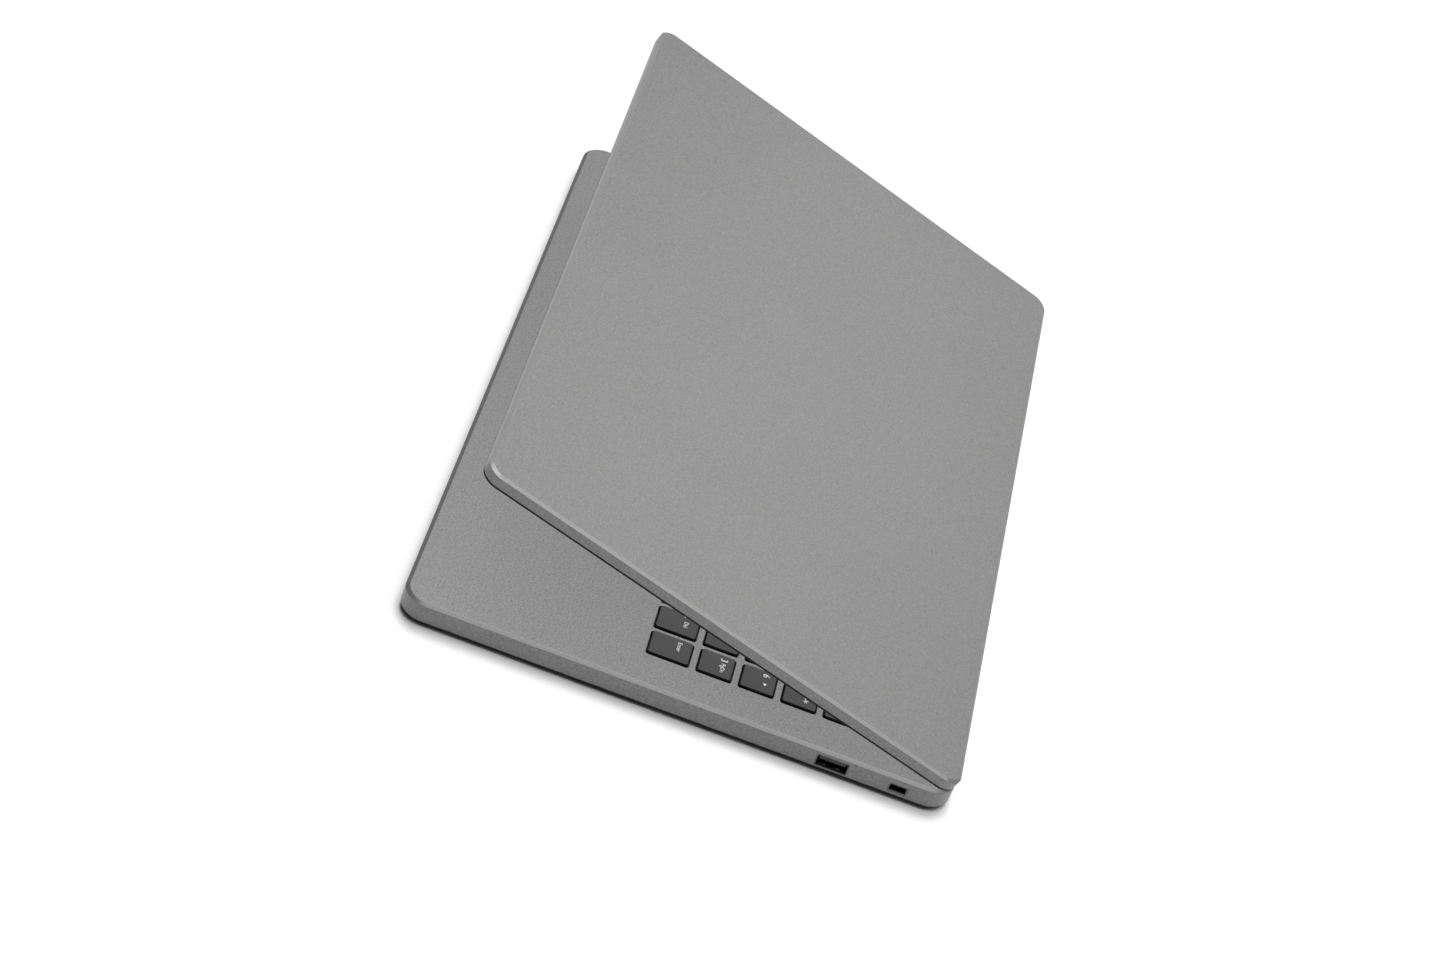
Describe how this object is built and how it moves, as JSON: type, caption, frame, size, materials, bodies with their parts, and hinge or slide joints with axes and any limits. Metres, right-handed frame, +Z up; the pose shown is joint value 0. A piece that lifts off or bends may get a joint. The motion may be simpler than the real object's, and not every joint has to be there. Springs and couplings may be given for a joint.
{
  "type": "laptop computer",
  "caption": "Slim clamshell notebook computer with number pad, lid part open on a friction hinge, pressing keys, click touchpad, cooling fan and side sockets.",
  "frame": {"origin": "centre of the base's footprint, on the surface that the rubber feet stand on", "axes": "+X towards the right-hand side with the number pad, -Y towards the front edge and the user, +Z up; the hinge axis runs along X near the rear edge"},
  "size_m": [0.3576, 0.2294, 0.0838],
  "materials": {
    "case_alloy": "matte",
    "under_alloy": "matte",
    "touchpad_glass": "satin",
    "rubber": "matte",
    "black_plastic": "matte",
    "steel": "satin",
    "circuit_board": "satin",
    "copper": "satin",
    "fin_aluminium": "satin",
    "battery_wrap": "matte",
    "screen": "gloss",
    "ribbon": "matte",
    "keycap_plastic": "matte"
  },
  "bodies": {
    "base": {"top_case": "case_alloy", "bottom_cover": "under_alloy", "rubber_feet": "rubber", "bottom_screws": "steel", "motherboard": "circuit_board", "cpu_package": "circuit_board", "heat_pipe": "copper", "heatsink_fins": "fin_aluminium", "fan_housing": "black_plastic", "ssd_module": "circuit_board", "memory_module": "circuit_board", "wifi_card": "circuit_board", "battery_pack": "battery_wrap", "speaker_left": "black_plastic", "speaker_right": "black_plastic", "touchpad_bracket": "steel", "keyboard_plate": "steel", "key_domes": "rubber", "hinge_bracket_left": "steel", "hinge_bracket_right": "steel", "usb_a_port_right": "steel", "usb_a_port_left": "steel", "hdmi_port": "steel", "usb_c_port": "steel", "dc_jack": "black_plastic", "audio_jack": "black_plastic", "lock_slot_frame": "steel"},
    "lid": {"lid_cover": "case_alloy", "display_bezel": "black_plastic", "lcd_panel": "screen", "lid_gasket": "rubber", "webcam_module": "circuit_board", "hinge_cover": "black_plastic", "hinge_arm_left": "steel", "hinge_arm_right": "steel", "display_cable": "ribbon", "wifi_antennas": "ribbon", "lid_magnets": "steel"},
    "fan_rotor": {"fan_impeller": "black_plastic"},
    "touchpad_plate": {"touchpad": "touchpad_glass"},
    "key_escape": {"key_escape": "keycap_plastic"},
    "keys_function_row": {"keys_function_row": "keycap_plastic"},
    "power_button": {"power_button": "keycap_plastic"},
    "keys_number_row": {"keys_number_row": "keycap_plastic"},
    "key_backspace": {"key_backspace": "keycap_plastic"},
    "key_tab": {"key_tab": "keycap_plastic"},
    "keys_upper_letters": {"keys_upper_letters": "keycap_plastic"},
    "key_caps_lock": {"key_caps_lock": "keycap_plastic"},
    "keys_home_letters": {"keys_home_letters": "keycap_plastic"},
    "key_enter": {"key_enter": "keycap_plastic"},
    "key_shift_left": {"key_shift_left": "keycap_plastic"},
    "keys_lower_letters": {"keys_lower_letters": "keycap_plastic"},
    "key_shift_right": {"key_shift_right": "keycap_plastic"},
    "keys_modifiers": {"keys_modifiers": "keycap_plastic"},
    "key_space_bar": {"key_space_bar": "keycap_plastic"},
    "keys_arrows": {"keys_arrows": "keycap_plastic"},
    "keys_pad_digits": {"keys_pad_digits": "keycap_plastic"},
    "keys_pad_operators": {"keys_pad_operators": "keycap_plastic"},
    "key_pad_enter": {"key_pad_enter": "keycap_plastic"}
  },
  "joints": [
    {"name": "display_hinge", "type": "hinge", "parent": "base", "child": "lid", "pos_m": [0, 0.111, 0.0062], "axis": [-1, 0, 0], "range_deg": [-17.4, 102.6]},
    {"name": "fan_spin", "type": "hinge", "parent": "base", "child": "fan_rotor", "pos_m": [-0.095, 0.07, 0.0048], "axis": [0, 0, 1], "continuous": true},
    {"name": "click_touchpad", "type": "hinge", "parent": "base", "child": "touchpad_plate", "pos_m": [-0.026, -0.0315, 0.0104], "axis": [1, 0, 0], "range_deg": [0, 0.35], "stiffness_Nm_per_rad": 8, "springref_deg": -0.23},
    {"name": "key_escape_press", "type": "slide", "parent": "base", "child": "key_escape", "axis": [0, 0, -1], "range_m": [0, 0.0012], "stiffness_N_per_m": 500, "springref_m": -0.0006},
    {"name": "keys_function_row_press", "type": "slide", "parent": "base", "child": "keys_function_row", "axis": [0, 0, -1], "range_m": [0, 0.0012], "stiffness_N_per_m": 7000, "springref_m": -0.0006},
    {"name": "key_power_press", "type": "slide", "parent": "base", "child": "power_button", "axis": [0, 0, -1], "range_m": [0, 0.0012], "stiffness_N_per_m": 500, "springref_m": -0.0006},
    {"name": "keys_number_row_press", "type": "slide", "parent": "base", "child": "keys_number_row", "axis": [0, 0, -1], "range_m": [0, 0.0012], "stiffness_N_per_m": 6500, "springref_m": -0.0006},
    {"name": "key_backspace_press", "type": "slide", "parent": "base", "child": "key_backspace", "axis": [0, 0, -1], "range_m": [0, 0.0012], "stiffness_N_per_m": 500, "springref_m": -0.0006},
    {"name": "key_tab_press", "type": "slide", "parent": "base", "child": "key_tab", "axis": [0, 0, -1], "range_m": [0, 0.0012], "stiffness_N_per_m": 500, "springref_m": -0.0006},
    {"name": "keys_upper_letters_press", "type": "slide", "parent": "base", "child": "keys_upper_letters", "axis": [0, 0, -1], "range_m": [0, 0.0012], "stiffness_N_per_m": 6500, "springref_m": -0.0006},
    {"name": "key_caps_lock_press", "type": "slide", "parent": "base", "child": "key_caps_lock", "axis": [0, 0, -1], "range_m": [0, 0.0012], "stiffness_N_per_m": 500, "springref_m": -0.0006},
    {"name": "keys_home_letters_press", "type": "slide", "parent": "base", "child": "keys_home_letters", "axis": [0, 0, -1], "range_m": [0, 0.0012], "stiffness_N_per_m": 5500, "springref_m": -0.0006},
    {"name": "key_enter_press", "type": "slide", "parent": "base", "child": "key_enter", "axis": [0, 0, -1], "range_m": [0, 0.0012], "stiffness_N_per_m": 500, "springref_m": -0.0006},
    {"name": "key_shift_left_press", "type": "slide", "parent": "base", "child": "key_shift_left", "axis": [0, 0, -1], "range_m": [0, 0.0012], "stiffness_N_per_m": 500, "springref_m": -0.0006},
    {"name": "keys_lower_letters_press", "type": "slide", "parent": "base", "child": "keys_lower_letters", "axis": [0, 0, -1], "range_m": [0, 0.0012], "stiffness_N_per_m": 5000, "springref_m": -0.0006},
    {"name": "key_shift_right_press", "type": "slide", "parent": "base", "child": "key_shift_right", "axis": [0, 0, -1], "range_m": [0, 0.0012], "stiffness_N_per_m": 500, "springref_m": -0.0006},
    {"name": "keys_modifiers_press", "type": "slide", "parent": "base", "child": "keys_modifiers", "axis": [0, 0, -1], "range_m": [0, 0.0012], "stiffness_N_per_m": 3000, "springref_m": -0.0006},
    {"name": "key_space_bar_press", "type": "slide", "parent": "base", "child": "key_space_bar", "axis": [0, 0, -1], "range_m": [0, 0.0012], "stiffness_N_per_m": 1000, "springref_m": -0.0006},
    {"name": "keys_arrows_press", "type": "slide", "parent": "base", "child": "keys_arrows", "axis": [0, 0, -1], "range_m": [0, 0.0012], "stiffness_N_per_m": 2000, "springref_m": -0.0006},
    {"name": "keys_pad_digits_press", "type": "slide", "parent": "base", "child": "keys_pad_digits", "axis": [0, 0, -1], "range_m": [0, 0.0012], "stiffness_N_per_m": 5500, "springref_m": -0.0006},
    {"name": "keys_pad_operators_press", "type": "slide", "parent": "base", "child": "keys_pad_operators", "axis": [0, 0, -1], "range_m": [0, 0.0012], "stiffness_N_per_m": 2500, "springref_m": -0.0006},
    {"name": "key_pad_enter_press", "type": "slide", "parent": "base", "child": "key_pad_enter", "axis": [0, 0, -1], "range_m": [0, 0.0012], "stiffness_N_per_m": 500, "springref_m": -0.0006}
  ]
}
